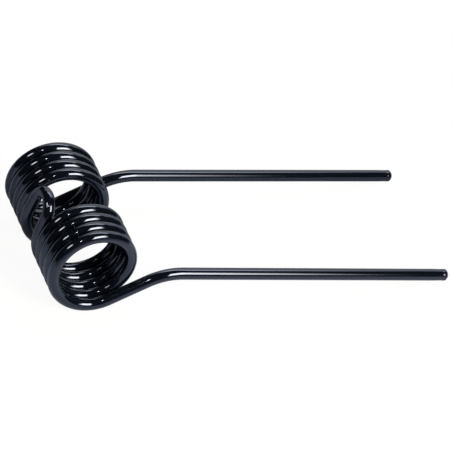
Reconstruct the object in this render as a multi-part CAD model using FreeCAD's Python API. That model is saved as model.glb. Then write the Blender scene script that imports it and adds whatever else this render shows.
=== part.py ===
import FreeCAD, Part
import math
import os

# A pick-up tine for a baler. One round spring wire is wound into two coils of opposite hand on one
# axis. Between the coils it makes a narrow loop for the bolt that holds the tine to its bar, and
# past each coil it runs out as a straight finger.
#
# The frame's origin is on the coils' axis, midway between the coils. +Y runs along that axis, +X
# points to the fingers' side and +Z is up. The tine is stored as it rests on a flat surface, on its
# coils and on its finger ends. Sizes are in millimetres and angles in degrees.

# Driving sizes
wire_diameter = 5.5
coil_inner_diameter = 31.3
coil_pitch = 6.03
whole_turns = 4
loop_inner_width = 9.5
loop_leg_length = 6.2
loop_leg_angle = 170.4
finger_reach = 176.0
finger_leg_rise = 32.7
bend_radius = 30.0
finger_splay = 0.7
tip_chamfer = 1.0

# Sizes worked out from them
wire_radius = wire_diameter / 2
coil_radius = coil_inner_diameter / 2 + wire_radius
loop_radius = loop_inner_width / 2 + wire_radius
coil_end_angle = 270 + finger_leg_rise
coil_turns = whole_turns + (coil_end_angle - loop_leg_angle) / 360
coil_slope = math.atan(coil_pitch / (2 * math.pi * coil_radius))
splay = math.radians(finger_splay)

ORIGIN = FreeCAD.Vector(0, 0, 0)
X_AXIS = FreeCAD.Vector(1, 0, 0)
Y_AXIS = FreeCAD.Vector(0, 1, 0)
Z_AXIS = FreeCAD.Vector(0, 0, 1)
ALONG_FINGER = FreeCAD.Vector(math.cos(splay), -math.sin(splay), 0)


def outward(angle):
    """Unit vector away from the coils' axis, at an angle counted from +X towards +Z."""
    turn = math.radians(angle)
    return FreeCAD.Vector(math.cos(turn), 0, math.sin(turn))


def along_coil(angle):
    """Direction of the wire in the coil on the -Y side, where it runs on towards the finger."""
    around = outward(angle + 90) * math.cos(coil_slope)
    return around - Y_AXIS * math.sin(coil_slope)


def line(start, end):
    return Part.LineSegment(start, end).toShape()


def arc(start, middle, end):
    return Part.Arc(start, middle, end).toShape()


def loop_and_coil():
    """The wire's line from the middle of the bolt loop to the outer end of one coil.

    The loop is a plain hairpin. Its legs leave the coils at a tangent, so they lean together by
    the coil's slope, and its arc is that much short of a half circle.
    """
    leg_run = along_coil(loop_leg_angle) * loop_leg_length
    leg_start_y = -loop_radius * math.cos(coil_slope)
    coil_start = outward(loop_leg_angle) * coil_radius
    coil_start.y = leg_start_y + leg_run.y
    leg_start = coil_start - leg_run

    towards_top = outward(loop_leg_angle - 90)
    centre = leg_start - towards_top * loop_radius * math.sin(coil_slope)
    centre.y = 0
    half_sweep = math.pi / 2 - coil_slope

    def on_arc(sweep):
        rise = towards_top * math.cos(sweep)
        return centre + (rise - Y_AXIS * math.sin(sweep)) * loop_radius

    coil = Part.makeHelix(coil_pitch, coil_pitch * coil_turns, coil_radius)
    coil.rotate(ORIGIN, Z_AXIS, loop_leg_angle)
    coil.rotate(ORIGIN, X_AXIS, 90)
    coil.translate(Y_AXIS * coil_start.y)

    coil_end = outward(coil_end_angle) * coil_radius
    coil_end.y = coil_start.y - coil_pitch * coil_turns
    edges = [arc(on_arc(0), on_arc(half_sweep / 2), leg_start), line(leg_start, coil_start)]
    return edges + coil.Edges, coil_end


def bend(before, corner, after):
    """The arc that rounds off a corner of the wire's line, and the arc's two ends."""
    turn = before.getAngle(after)
    setback = bend_radius * math.tan(turn / 2)
    start = corner - before * setback
    end = corner + after * setback
    inward = (after - before).normalize()
    middle = corner + inward * bend_radius * (1 / math.cos(turn / 2) - 1)
    return start, arc(start, middle, end), end


def leg_and_finger(coil_end):
    """The wire's line from the coil's outer end to the finger's tip.

    The wire leaves the coil at a tangent. A slight bend takes out the coil's slope, so that the leg
    runs square to the coils' axis. It rises to the level of that axis and is bent there to run
    straight and level. The two fingers spread a little towards their tips.
    """
    leaving = along_coil(coil_end_angle)
    leg = outward(coil_end_angle + 90)
    first_corner = coil_end + leaving * bend_radius * math.tan(coil_slope / 2)
    second_corner = first_corner - leg * (first_corner.z / leg.z)
    tip = second_corner + ALONG_FINGER * ((finger_reach - second_corner.x) / ALONG_FINGER.x)
    _, first_bend, leg_start = bend(leaving, first_corner, leg)
    leg_end, second_bend, finger_start = bend(leg, second_corner, ALONG_FINGER)
    return [first_bend, line(leg_start, leg_end), second_bend, line(finger_start, tip)]


def half_tine():
    """The wire from the middle of the bolt loop to one finger's tip, on the -Y side."""
    inner_edges, coil_end = loop_and_coil()
    path = Part.Wire(inner_edges + leg_and_finger(coil_end))
    loop_top = path.OrderedVertexes[0].Point
    section = Part.Wire(Part.makeCircle(wire_radius, loop_top, Y_AXIS))
    solid = path.makePipeShell([section], True, False)
    tip_face = max(solid.Faces, key=lambda face: face.CenterOfMass.x)
    return solid.makeChamfer(tip_chamfer, tip_face.Edges)


def resting_tilt():
    """The turn about +Y that brings the coils and the finger ends down to one flat surface."""
    coil_outer_radius = coil_radius + wire_radius
    contact_reach = finger_reach - tip_chamfer * ALONG_FINGER.x
    contact_distance = math.hypot(contact_reach, wire_radius)
    below_level = math.atan2(wire_radius, contact_reach)
    return math.degrees(math.asin(coil_outer_radius / contact_distance) - below_level)


half = half_tine()
tine = half.fuse(half.mirror(ORIGIN, Y_AXIS)).removeSplitter()
tine.rotate(ORIGIN, Y_AXIS, resting_tilt())

os.makedirs("parts", exist_ok=True)
tine.Solids[0].exportStep("parts/tine_wire.step")

box = tine.BoundBox
print("solids", len(tine.Solids), "faces", len(tine.Faces), "valid", tine.isValid())
print("resting tilt", round(resting_tilt(), 2), "turns in each coil", round(coil_turns, 2))
print("size", round(box.XLength, 1), round(box.YLength, 1), round(box.ZLength, 1))
print("gap between turns", round(coil_pitch * math.cos(coil_slope) - wire_diameter, 2))
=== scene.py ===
# %% [markdown]
# # A pick-up tine for a baler
# The real tine is one length of round spring wire, wound into two coils with a loop between them and
# dipped in black gloss paint. This lesson draws the wire's middle line the way a bending machine
# makes it, sweeps the wire's round section along that line, paints it and lights it.

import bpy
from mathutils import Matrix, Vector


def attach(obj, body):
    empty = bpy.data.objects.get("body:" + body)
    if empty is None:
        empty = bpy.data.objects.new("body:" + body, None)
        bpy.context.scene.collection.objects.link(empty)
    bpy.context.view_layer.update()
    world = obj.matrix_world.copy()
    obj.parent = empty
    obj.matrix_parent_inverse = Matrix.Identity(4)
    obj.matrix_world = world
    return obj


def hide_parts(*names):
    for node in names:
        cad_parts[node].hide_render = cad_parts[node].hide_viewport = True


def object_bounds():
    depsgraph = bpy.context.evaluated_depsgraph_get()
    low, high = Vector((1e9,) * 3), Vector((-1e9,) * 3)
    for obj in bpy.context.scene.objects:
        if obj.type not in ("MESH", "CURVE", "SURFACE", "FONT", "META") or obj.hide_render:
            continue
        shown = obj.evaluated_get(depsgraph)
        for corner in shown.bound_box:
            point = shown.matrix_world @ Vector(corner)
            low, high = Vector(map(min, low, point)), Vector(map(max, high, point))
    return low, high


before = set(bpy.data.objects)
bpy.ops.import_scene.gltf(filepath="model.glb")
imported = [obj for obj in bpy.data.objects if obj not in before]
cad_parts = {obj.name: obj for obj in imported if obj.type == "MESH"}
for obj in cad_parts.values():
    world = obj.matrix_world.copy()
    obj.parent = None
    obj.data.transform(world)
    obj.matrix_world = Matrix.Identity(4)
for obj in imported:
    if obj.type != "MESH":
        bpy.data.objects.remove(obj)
cad_low, cad_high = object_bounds()
print("packed nodes", sorted(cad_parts))
print("packed box", [round(v, 4) for v in cad_low], [round(v, 4) for v in cad_high])

# %% Tools
import math

import bpy
import numpy as np
from mathutils import Matrix, Vector

print("Blender", bpy.app.version_string)

# %% [markdown]
# ## The tine's sizes
# Blender works in metres, and a wire former works in millimetres, so each size is written in
# millimetres and multiplied once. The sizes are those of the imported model, so that the wire drawn
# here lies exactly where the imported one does. Only the wire's radius is a hair smaller than the
# real 2.75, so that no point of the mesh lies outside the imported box.

# %% Sizes
MM = 0.001
WIRE_RADIUS = 2.7495 * MM
COIL_RADIUS = 18.4 * MM
COIL_PITCH = 6.03 * MM
COIL_WHOLE_TURNS = 4
LOOP_RADIUS = 7.5 * MM
LOOP_LEG_LENGTH = 6.2 * MM
LOOP_LEG_ANGLE = 170.4
FINGER_REACH = 176.0 * MM
FINGER_LEG_RISE = 32.7
BEND_RADIUS = 30.0 * MM
FINGER_SPLAY = math.radians(0.7)
TIP_CHAMFER = 1.0 * MM

COIL_END_ANGLE = 270 + FINGER_LEG_RISE
COIL_SWEEP = 360 * COIL_WHOLE_TURNS + COIL_END_ANGLE - LOOP_LEG_ANGLE
COIL_SLOPE = math.atan(COIL_PITCH / (2 * math.pi * COIL_RADIUS))
print("turns in a coil", round(COIL_SWEEP / 360, 2))
print("slope of a turn in degrees", round(math.degrees(COIL_SLOPE), 2))

# %% [markdown]
# ## Walking along the wire
# A curve object with a bevel would also make a wire, but it gives no say over where its rings fall.
# Here the middle line is a list of places, each with the direction in which the wire heads, so
# that a tight loop gets close rings and a straight finger few. Three moves make the whole tine, as
# on the bending machine: feed it straight, bend it round a pin, or wind it on a mandrel.

# %% Directions
Y_AXIS = np.array([0.0, 1.0, 0.0])


def outward(angle):
    """Unit vector away from the coils' axis, at an angle in degrees from +X towards +Z."""
    turn = math.radians(angle)
    return np.array([math.cos(turn), 0.0, math.sin(turn)])


def along_coil(angle):
    """Heading of the wire in the coil on the -Y side, where it runs on towards the finger."""
    return outward(angle + 90) * math.cos(COIL_SLOPE) - Y_AXIS * math.sin(COIL_SLOPE)


print("the coil starts heading", along_coil(LOOP_LEG_ANGLE).round(3))


# %% The three moves
def feed(places, headings, length, spacing):
    """Feeds the wire on in a straight line."""
    count = max(1, round(length / spacing))
    start, heading = places[-1], headings[-1]
    for share in np.arange(1, count + 1) / count:
        places.append(start + heading * length * share)
        headings.append(heading)


def bend(places, headings, to_heading, radius, spacing):
    """Bends the wire round a pin until it heads in the new direction."""
    start, heading = places[-1], headings[-1]
    turn = math.acos(float(np.clip(heading @ to_heading, -1, 1)))
    inward = to_heading - heading * math.cos(turn)
    inward /= np.linalg.norm(inward)
    count = max(2, round(radius * turn / spacing))
    for angle in turn * np.arange(1, count + 1) / count:
        step = heading * math.sin(angle) + inward * (1 - math.cos(angle))
        places.append(start + step * radius)
        headings.append(heading * math.cos(angle) + inward * math.sin(angle))


def wind(places, headings, from_angle, sweep, spacing):
    """Winds the wire on the mandrel, a helix about the Y axis."""
    start_y = places[-1][1]
    count = round(COIL_RADIUS * math.radians(sweep) / spacing)
    for share in np.arange(1, count + 1) / count:
        angle = from_angle + sweep * share
        advance = COIL_PITCH * sweep * share / 360
        places.append(outward(angle) * COIL_RADIUS + Y_AXIS * (start_y - advance))
        headings.append(along_coil(angle))


print("moves ready: feed, bend and wind")

# %% [markdown]
# ## Half of the tine
# The walk starts in the middle of the loop and ends at a finger's tip. The loop's arc stops a
# little short of a half circle, because its legs already lean by the coil's slope where they meet
# the coil. Past the coil a slight bend takes that slope out again, and the leg rises to the level
# of the axis, where the finger is bent straight.

# %% Loop and coil
LOOP_SPACING = 0.5 * MM
COIL_SPACING = 1.1 * MM
STRAIGHT_SPACING = 2.5 * MM

leaving_loop = along_coil(LOOP_LEG_ANGLE)
towards_top = outward(LOOP_LEG_ANGLE - 90)
coil_start = outward(LOOP_LEG_ANGLE) * COIL_RADIUS
leg_start = coil_start - leaving_loop * LOOP_LEG_LENGTH
leg_start[1] = -LOOP_RADIUS * math.cos(COIL_SLOPE)
loop_top = leg_start + towards_top * LOOP_RADIUS * (1 - math.sin(COIL_SLOPE))
loop_top[1] = 0.0

places = [loop_top]
headings = [-Y_AXIS]
bend(places, headings, leaving_loop, LOOP_RADIUS, LOOP_SPACING)
feed(places, headings, LOOP_LEG_LENGTH, LOOP_SPACING)
wind(places, headings, LOOP_LEG_ANGLE, COIL_SWEEP, COIL_SPACING)
print("the coil ends at", (places[-1] / MM).round(1), "mm")

# %% Leg and finger
leg_heading = outward(COIL_END_ANGLE + 90)
finger_heading = np.array([math.cos(FINGER_SPLAY), -math.sin(FINGER_SPLAY), 0.0])
bend(places, headings, leg_heading, BEND_RADIUS, COIL_SPACING)

finger_turn = math.acos(float(leg_heading @ finger_heading))
setback = BEND_RADIUS * math.tan(finger_turn / 2)
leg_length = -places[-1][2] / leg_heading[2] - setback
feed(places, headings, leg_length, STRAIGHT_SPACING)
bend(places, headings, finger_heading, BEND_RADIUS, COIL_SPACING)
finger_length = (FINGER_REACH - places[-1][0]) / finger_heading[0]
print("leg", round(leg_length / MM, 1), "mm, finger", round(finger_length / MM, 1), "mm")

# %% [markdown]
# ## The finger's tip
# The wire is cut square and its edge is broken by a small chamfer. The tine is dipped and drips
# from its ends, so near the tip the paint thins and then gathers in a low bead before the edge,
# and the edge itself is round. The bead's slope shows the lamp as a small spot. A bump could fake
# it, but the shape is simple, so each ring near the tip just gets its own distance from the end
# and its own change of radius, both in millimetres.

# %% Rings of the tip
BEAD_RINGS = [
    (9.00, 0.000), (7.50, -0.004), (6.00, -0.018), (5.00, -0.036), (4.40, -0.050),
    (3.90, -0.062), (3.50, -0.068), (3.20, -0.068), (2.95, -0.062), (2.70, -0.050),
    (2.45, -0.035), (2.20, -0.020), (1.95, -0.009), (1.70, -0.002), (1.45, 0.000),
]
EDGE_RINGS = [
    (1.25, -0.003), (1.08, -0.015), (0.98, -0.045), (0.88, -0.110), (0.76, -0.215),
    (0.50, -0.470), (0.28, -0.690), (0.16, -0.815), (0.08, -0.915), (0.03, -1.010),
    (0.00, -1.130),
]
END_FACE_RADII = [1.45, 1.25, 0.85, 0.45]

tip_zone = BEAD_RINGS[0][0] * MM
feed(places, headings, finger_length - tip_zone, STRAIGHT_SPACING)
radii = [WIRE_RADIUS] * len(places)
zone_start = places[-1]
for distance, change in BEAD_RINGS[1:] + EDGE_RINGS:
    places.append(zone_start + finger_heading * (tip_zone - distance * MM))
    headings.append(finger_heading)
    radii.append(WIRE_RADIUS + change * MM)
for radius in END_FACE_RADII:
    places.append(places[-1])
    headings.append(finger_heading)
    radii.append(radius * MM)
print("rings in half of the wire", len(places))

# %% [markdown]
# ## The other half, and the way it rests
# The far half is the mirror image, walked backwards, so that the wire runs on from tip to tip. The
# packed tine lies on its coils and its finger ends, so the whole line is turned about the Y axis
# until both touch one flat surface.

# %% Mirror and rest
near_places = np.array(places)
near_headings = np.array(headings)
near_radii = np.array(radii)
MIRROR = np.array([1.0, -1.0, 1.0])
line_places = np.vstack([(near_places * MIRROR)[:0:-1], near_places])
line_headings = np.vstack([(-near_headings * MIRROR)[:0:-1], near_headings])
line_radii = np.concatenate([near_radii[:0:-1], near_radii])

contact_reach = FINGER_REACH - TIP_CHAMFER * math.cos(FINGER_SPLAY)
below_level = math.atan2(WIRE_RADIUS, contact_reach)
rise = math.asin((COIL_RADIUS + WIRE_RADIUS) / math.hypot(contact_reach, WIRE_RADIUS))
resting_tilt = rise - below_level
to_rest = np.array(Matrix.Rotation(resting_tilt, 3, "Y"))
line_places = line_places @ to_rest.T
line_headings = line_headings @ to_rest.T
print("resting tilt in degrees", round(math.degrees(resting_tilt), 2))

# %% [markdown]
# ## Sweeping the section
# A ring of points is set square to the wire at each place. If each ring were turned freely, the
# mesh would twist, so the ring's first spoke is carried along from one place to the next and only
# tilted as the wire's heading tilts. The mesh also keeps how far along the wire and where round it
# each point lies, so that the paint's texture can follow the wire round the coils.

# %% Carry the first spoke along the wire
def carried_spokes(headings):
    """A unit vector square to the wire at each place, without twist from one to the next."""
    spoke = np.cross(headings[0], Y_AXIS)
    spokes = []
    for heading in headings:
        spoke = spoke - heading * (spoke @ heading)
        spoke = spoke / np.linalg.norm(spoke)
        spokes.append(spoke)
    return np.array(spokes)


spokes = carried_spokes(line_headings)
others = np.cross(line_headings, spokes)
steps = np.linalg.norm(np.diff(line_places, axis=0), axis=1)
line_lengths = np.concatenate([[0.0], np.cumsum(steps)])
print("length of the wire", round(line_lengths[-1], 3), "m")

# %% Build the wire's mesh
SEGMENTS = 48


def ring_points():
    """The points of every ring, on the bent wire and on the same wire laid out straight."""
    around = np.arange(SEGMENTS) * 2 * math.pi / SEGMENTS
    circle = np.cos(around)[None, :, None] * spokes[:, None]
    circle = circle + np.sin(around)[None, :, None] * others[:, None]
    rings = line_places[:, None] + circle * line_radii[:, None, None]
    straight = np.zeros_like(rings)
    straight[..., 0] = np.cos(around) * line_radii[:, None]
    straight[..., 1] = np.sin(around) * line_radii[:, None]
    straight[..., 2] = line_lengths[:, None]
    return rings.reshape(-1, 3), straight.reshape(-1, 3)


def ring_faces():
    """Quads from ring to ring, and a fan of triangles that closes each end face."""
    count = len(line_places)
    corner = np.arange(SEGMENTS)
    beside = (corner + 1) % SEGMENTS
    start = np.arange(count - 1)[:, None] * SEGMENTS
    quads = np.stack(
        [start + corner, start + beside, start + SEGMENTS + beside, start + SEGMENTS + corner],
        axis=-1,
    )
    first_middle, last_middle = count * SEGMENTS, count * SEGMENTS + 1
    last_ring = (count - 1) * SEGMENTS
    fans = [(first_middle, int(b), int(a)) for a, b in zip(corner, beside)]
    fans += [(last_middle, last_ring + int(a), last_ring + int(b)) for a, b in zip(corner, beside)]
    return quads.reshape(-1, 4).tolist() + fans


def swept_wire(name):
    """The wire as one closed mesh, with its place in the straight wire as an attribute."""
    bent, straight = ring_points()
    points = np.vstack([bent, line_places[0], line_places[-1]])
    in_wire = np.vstack([straight, [0, 0, 0], [0, 0, line_lengths[-1]]])
    mesh = bpy.data.meshes.new(name)
    mesh.from_pydata(points.tolist(), [], ring_faces())
    mesh.update()
    mesh.shade_smooth()
    place = mesh.attributes.new("place_in_wire", "FLOAT_VECTOR", "POINT")
    place.data.foreach_set("vector", in_wire.astype(np.float32).ravel())
    piece = bpy.data.objects.new(name, mesh)
    bpy.context.scene.collection.objects.link(piece)
    print(name, len(mesh.vertices), "points", len(mesh.polygons), "faces")
    return piece


wire = swept_wire("painted_wire")

# %% [markdown]
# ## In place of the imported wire
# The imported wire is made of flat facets, and gloss black shows each of them as a broken highlight.
# The swept mesh has the same form with smooth rings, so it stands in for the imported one. It stays
# where it was drawn, fixed to the root, and takes the one paint slot.

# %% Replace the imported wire
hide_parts("tine_wire")
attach(wire, "root")
print("the drawn wire stands in for tine_wire")

# %% [markdown]
# ## Shader maths
# A material is a sheet of nodes joined by links. Written node by node, even a small sum is long, so
# one class wraps a link: signs between links add Math nodes, and one method adds any other node.

# %% A link that can be used in sums
class Link:
    """One output of a shader node. Sums of links and numbers add Math nodes."""

    def __init__(self, tree, socket=None):
        self.tree = tree
        self.socket = socket

    def node(self, kind, settings=None, sockets=None, out=0):
        """Adds a node with these settings and these values or links, and returns one output."""
        made = self.tree.nodes.new(kind)
        for key, value in (settings or {}).items():
            setattr(made, key, value)
        for key, value in (sockets or {}).items():
            if isinstance(value, Link):
                self.tree.links.new(value.socket, made.inputs[key])
            else:
                made.inputs[key].default_value = value
        return Link(self.tree, made.outputs[out]) if len(made.outputs) else None

    def output(self, name):
        """Another output of the node that this link comes from."""
        return Link(self.tree, self.socket.node.outputs[name])

    def math(self, operation, first, second=0.0):
        return self.node("ShaderNodeMath", {"operation": operation}, {0: first, 1: second})

    def __abs__(self):
        return self.math("ABSOLUTE", self)

    def __add__(self, other):
        return self.math("ADD", self, other)

    def __radd__(self, other):
        return self.math("ADD", other, self)

    def __sub__(self, other):
        return self.math("SUBTRACT", self, other)

    def __rsub__(self, other):
        return self.math("SUBTRACT", other, self)

    def __mul__(self, other):
        return self.math("MULTIPLY", self, other)

    def __rmul__(self, other):
        return self.math("MULTIPLY", other, self)


print("links can be added, subtracted and multiplied")


# %% Sheets, noise and mixing
def new_sheet(name):
    """An empty material and the link that starts its sheet of nodes."""
    material = bpy.data.materials.new(name)
    material.use_nodes = True
    material.node_tree.nodes.clear()
    return material, Link(material.node_tree)


def noise(sheet, where, scale, detail=2.0, roughness=0.5):
    """Soft noise between 0 and 1, with this many waves in a metre."""
    sockets = {"Vector": where, "Scale": scale, "Detail": detail, "Roughness": roughness}
    return sheet.node("ShaderNodeTexNoise", {}, sockets)


def eased(value, low, high, before, after):
    """Goes softly from before to after while the value goes from low to high."""
    return value.node(
        "ShaderNodeMapRange",
        {"interpolation_type": "SMOOTHSTEP"},
        {"Value": value, "From Min": low, "From Max": high, "To Min": before, "To Max": after},
    )


def mixed(factor, first, second):
    """One shader where the factor is 0, the other where it is 1."""
    return factor.node("ShaderNodeMixShader", {}, {0: factor, 1: first, 2: second})


print("helpers ready: noise, eased and mixed")

# %% [markdown]
# ## Black gloss paint
# The paint is a thick black enamel. Its colour is almost nothing: what the eye sees is what it
# mirrors, so the care goes into its surface. Enamel dries with a faint orange peel, finer than a
# millimetre or two, over slow waves where it flowed. Both go into the bump, very low. The
# black is a little uneven, and the gloss is a little duller where dust settled in it. A clear coat
# over a black base would mirror twice, so the gloss is that of the enamel alone, and slightly cool.

# %% Paint
DEEP_BLACK = (0.0009, 0.0016, 0.0034, 1.0)
PALER_BLACK = (0.0028, 0.0043, 0.0082, 1.0)
COOL_GLOSS = (0.70, 0.77, 1.0, 1.0)
ENAMEL_IOR = 1.6
CLOUD_SCALE = 90.0
PEEL_SCALE = 620.0
FLOW_SCALE = 120.0
DUST_SCALE = 260.0
PEEL_HEIGHT = 0.0009 * MM
FLOW_TO_PEEL = 5.0
CLEAN_ROUGHNESS = 0.05
DUSTY_ROUGHNESS = 0.08
MIX_COLOUR_A, MIX_COLOUR_B, MIX_COLOUR_OUT = 6, 7, 2


def black_gloss_paint():
    material, sheet = new_sheet("black_gloss_paint")
    where = sheet.node("ShaderNodeAttribute", {"attribute_name": "place_in_wire"}, out="Vector")
    clouds = noise(sheet, where, CLOUD_SCALE, detail=3.0)
    peel = noise(sheet, where, PEEL_SCALE)
    flow = noise(sheet, where, FLOW_SCALE)
    dust = noise(sheet, where, DUST_SCALE, detail=4.0, roughness=0.6)

    colour = sheet.node(
        "ShaderNodeMix",
        {"data_type": "RGBA"},
        {"Factor": clouds, MIX_COLOUR_A: DEEP_BLACK, MIX_COLOUR_B: PALER_BLACK},
        out=MIX_COLOUR_OUT,
    )
    bump = sheet.node(
        "ShaderNodeBump",
        {},
        {"Strength": 1.0, "Distance": PEEL_HEIGHT, "Height": peel + FLOW_TO_PEEL * flow},
    )
    paint = sheet.node(
        "ShaderNodeBsdfPrincipled",
        {},
        {
            "Base Color": colour,
            "Roughness": CLEAN_ROUGHNESS + (DUSTY_ROUGHNESS - CLEAN_ROUGHNESS) * dust,
            "IOR": ENAMEL_IOR,
            "Specular Tint": COOL_GLOSS,
            "Normal": bump,
        },
    )
    sheet.node("ShaderNodeOutputMaterial", {}, {"Surface": paint})
    return material


wire.data.materials.append(black_gloss_paint())
print("paint", wire.data.materials[0].name)

# %% [markdown]
# ## The table it lies on
# The photograph has a plain white ground. A white table renders white only under strong light, and
# that light would wash out the object, so the camera sees mostly a plain white glow, mixed with a
# little of the lit table, which keeps the object's shadow. The gloss of the wire shows the lit
# table itself, a little cooler and with the tine's own shadows in it. In the photograph's wire the
# table is brightest in a strip along the near side and darker on both sides of it, as under a
# lamp, so that pool of light is painted into the table that the gloss sees: a bright strip, with
# painted shade on both sides of it and towards the left end.

# %% Floor
TABLE_WHITE = (0.84, 0.86, 0.90, 1.0)
TABLE_IN_GLOSS = (0.55, 0.61, 0.755, 1.0)
SHARE_OF_GLOW = 0.93
# Where the painted pool of light on the table lies, and how dark its painted shade gets, seen only
# in the gloss.
STRIP_Y = -55.0 * MM
STRIP_BRIGHT_WITHIN, STRIP_DIM_BEYOND, STRIP_DIM_TO = 30.0 * MM, 90.0 * MM, 0.5
LEFT_END_X, LEFT_BRIGHT_FROM_X, LEFT_DIM_TO = -200.0 * MM, 60.0 * MM, 0.85
FLOOR_HALF_SIDE = 8.0
FLOOR_GAP = 0.05 * MM


def diffuse(sheet, colour):
    return sheet.node("ShaderNodeBsdfDiffuse", {}, {"Color": colour})


def white_floor():
    material, sheet = new_sheet("white_table")
    ray = sheet.node("ShaderNodeLightPath")
    mirrored = ray.output("Is Glossy Ray") + ray.output("Is Transmission Ray")
    seen = ray.output("Is Camera Ray") * SHARE_OF_GLOW

    x = sheet.node("ShaderNodeSeparateXYZ", {}, {0: sheet.node("ShaderNodeNewGeometry")})
    # The painted pool of light that the gloss sees: bright in a strip, with painted shade beside it
    # and towards the left end.
    aside = abs(x.output("Y") - STRIP_Y)
    strip = eased(aside, STRIP_BRIGHT_WITHIN, STRIP_DIM_BEYOND, 1.0, STRIP_DIM_TO)
    painted_shade_to_left = eased(x, LEFT_END_X, LEFT_BRIGHT_FROM_X, LEFT_DIM_TO, 1.0)

    unlit = diffuse(sheet, (0.0, 0.0, 0.0, 1.0))
    gloss_table_painted_light = mixed(strip * painted_shade_to_left, unlit, diffuse(sheet, TABLE_IN_GLOSS))
    table = mixed(mirrored, diffuse(sheet, TABLE_WHITE), gloss_table_painted_light)
    glow = sheet.node("ShaderNodeEmission", {}, {"Color": (1.0, 1.0, 1.0, 1.0), "Strength": 1.0})
    sheet.node("ShaderNodeOutputMaterial", {}, {"Surface": mixed(seen, table, glow)})
    return material


half = FLOOR_HALF_SIDE
floor_height = cad_low.z - FLOOR_GAP
floor_corners = [(-half, -half), (half, -half), (half, half), (-half, half)]
floor_mesh = bpy.data.meshes.new("table")
floor_mesh.from_pydata([(x, y, floor_height) for x, y in floor_corners], [], [(0, 1, 2, 3)])
floor = bpy.data.objects.new("table", floor_mesh)
floor.data.materials.append(white_floor())
bpy.context.scene.collection.objects.link(floor)
print("table at", round(floor_height, 5), "m")

# %% [markdown]
# ## Light
# Gloss black shows the lamps themselves. The photograph's highlights say where they stood: a broad
# soft box at the front right, a narrow one at the left, a small lamp near the camera, and pale
# panels behind, brighter towards their top. Everything between them was dark, which is why the wire
# looks black. The highlights end softly, so each panel fades out towards its ends. One large panel
# would light the tine as well, but its mirror image would be one broad stripe.

# %% Directions and fading
LAMP_DISTANCE = 1.2


def direction(azimuth, elevation):
    """Unit vector towards a lamp. Azimuth 0 is the -Y side, 90 is +X, both in degrees."""
    a, e = math.radians(azimuth), math.radians(elevation)
    return Vector((math.sin(a) * math.cos(e), -math.cos(a) * math.cos(e), math.sin(e)))


def fade(share, before, after):
    """Falls softly to nothing over these shares of a side, at its two ends."""
    return eased(share, 0.0, before, 0.0, 1.0) * eased(share, 1.0 - after, 1.0, 1.0, 0.0)


def panel_side(degrees):
    """The side of a panel that looks this wide from the tine."""
    return 2 * LAMP_DISTANCE * math.tan(math.radians(degrees / 2))


print("a panel 30 degrees wide is", round(panel_side(30), 2), "m wide")

# %% A soft box
LEVEL = None


def soft_box(
    name, azimuth, elevation, along, across, radiance,
    colour=(1.0, 1.0, 1.0), ends=(0.1, 0.1), edges=(0.1, 0.1), wire_angle=0,
):
    """A panel lamp with sides along and across the stretch of wire that shows it.

    The sides are in degrees as seen from the tine. The stretch of wire heads at wire_angle, from
    +X towards +Z, and a panel at LEVEL stands upright with level edges instead. The panel is
    dimmer near its ends and edges, each over its own share of the side.
    """
    lamp = bpy.data.lights.new(name, "AREA")
    lamp.color = colour
    lamp.use_nodes = True
    lamp.node_tree.nodes.clear()
    sheet = Link(lamp.node_tree)
    on_panel = sheet.node("ShaderNodeNewGeometry", out="Parametric")
    u = sheet.node("ShaderNodeSeparateXYZ", {}, {0: on_panel})
    strength = fade(u, *ends) * fade(u.output("Y"), *edges)
    light = sheet.node("ShaderNodeEmission", {}, {"Strength": strength})
    sheet.node("ShaderNodeOutputLight", {}, {"Surface": light})
    lamp.shape = "RECTANGLE"
    lamp.size = panel_side(along)
    lamp.size_y = panel_side(across)
    lamp.energy = radiance * math.pi * lamp.size * lamp.size_y

    away = direction(azimuth, elevation)
    level_edge = Vector((0, 0, 1)).cross(away)
    shown_by = level_edge if wire_angle is LEVEL else Vector(outward(wire_angle))
    across_wire = away.cross(shown_by).normalized()
    along_wire = across_wire.cross(away)
    turn = Matrix((along_wire, across_wire, away)).transposed().to_4x4()
    holder = bpy.data.objects.new(name, lamp)
    holder.matrix_world = Matrix.Translation(away * LAMP_DISTANCE) @ turn
    holder.visible_camera = False
    bpy.context.scene.collection.objects.link(holder)
    print(name, "power", round(lamp.energy, 1), "W")


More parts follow.
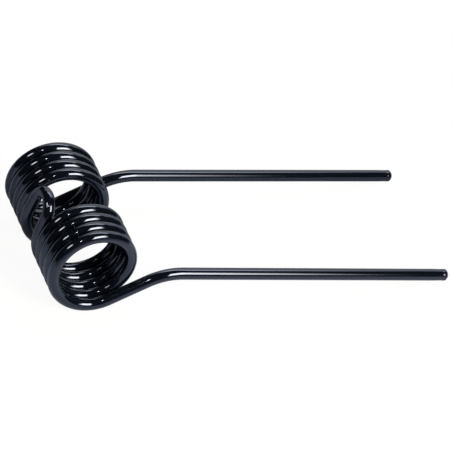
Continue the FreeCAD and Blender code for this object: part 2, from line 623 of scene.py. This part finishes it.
# %% The lamps
WARM = (1.0, 0.93, 0.80)
soft_box("front_right_box", 29, 34.5, 27, 30, 25.0, WARM, ends=(0.08, 0.40))
soft_box("left_strip", -79, 42, 17, 18, 19.0, WARM, ends=(0.3, 0.3), wire_angle=38)
soft_box("small_lamp", -33, 55, 3.4, 6, 70.0, WARM)
soft_box(
    "back_panel_top", 144, 58.5, 51, 14, 6.8,
    ends=(0.12, 0.3), edges=(0.15, 0.15), wire_angle=LEVEL,
)
soft_box(
    "back_panel", 149.5, 36, 81, 32, 1.8,
    ends=(0.1, 0.25), edges=(0.6, 0.05), wire_angle=LEVEL,
)
soft_box(
    "back_wall", 142, 10.5, 83, 24, 1.2,
    ends=(0.45, 0.25), edges=(0.4, 0.05), wire_angle=LEVEL,
)

# %% [markdown]
# ## The room
# The photograph's room is dark. A very weak, slightly blue glow from all round stands for its
# walls, so that the darkest parts of the wire don't fall to pure black.

# %% World
ROOM_GLOW = 0.02
ROOM_COLOUR = (0.80, 0.88, 1.0, 1.0)

world = bpy.data.worlds.new("dark_room")
world.use_nodes = True
background = world.node_tree.nodes["Background"]
background.inputs["Color"].default_value = ROOM_COLOUR
background.inputs["Strength"].default_value = ROOM_GLOW
bpy.context.scene.world = world
print("room glow", ROOM_GLOW)

# %% [markdown]
# ## Camera
# The photograph looks down on the tine from the front left, from about a metre and a half, with the
# picture turned a little about the line of sight.

# %% Camera
CAMERA_AIM = Vector((63.8, -23.36, 11.86)) * MM
CAMERA_DISTANCE = 1529.3 * MM
CAMERA_AZIMUTH = -28.12
CAMERA_ELEVATION = 38.59
CAMERA_ROLL = math.radians(13.59)
CAMERA_LENS = 273.14
CAMERA_SENSOR = 36.0
NEAREST_SEEN, FARTHEST_SEEN = 0.05, 50.0

camera = bpy.data.objects.new("camera", bpy.data.cameras.new("camera"))
bpy.context.scene.collection.objects.link(camera)
back = direction(CAMERA_AZIMUTH, CAMERA_ELEVATION)
level = Vector((0, 0, 1)).cross(back).normalized()
upright = back.cross(level)
right = level * math.cos(CAMERA_ROLL) + upright * math.sin(CAMERA_ROLL)
up = back.cross(right)
turn = Matrix((right, up, back)).transposed().to_4x4()
camera.matrix_world = Matrix.Translation(CAMERA_AIM + back * CAMERA_DISTANCE) @ turn
camera.data.lens = CAMERA_LENS
camera.data.sensor_width = CAMERA_SENSOR
camera.data.clip_start = NEAREST_SEEN
camera.data.clip_end = FARTHEST_SEEN
bpy.context.scene.camera = camera
bpy.context.scene.view_settings.view_transform = "Standard"
print("camera at", [round(v, 4) for v in camera.matrix_world.translation])
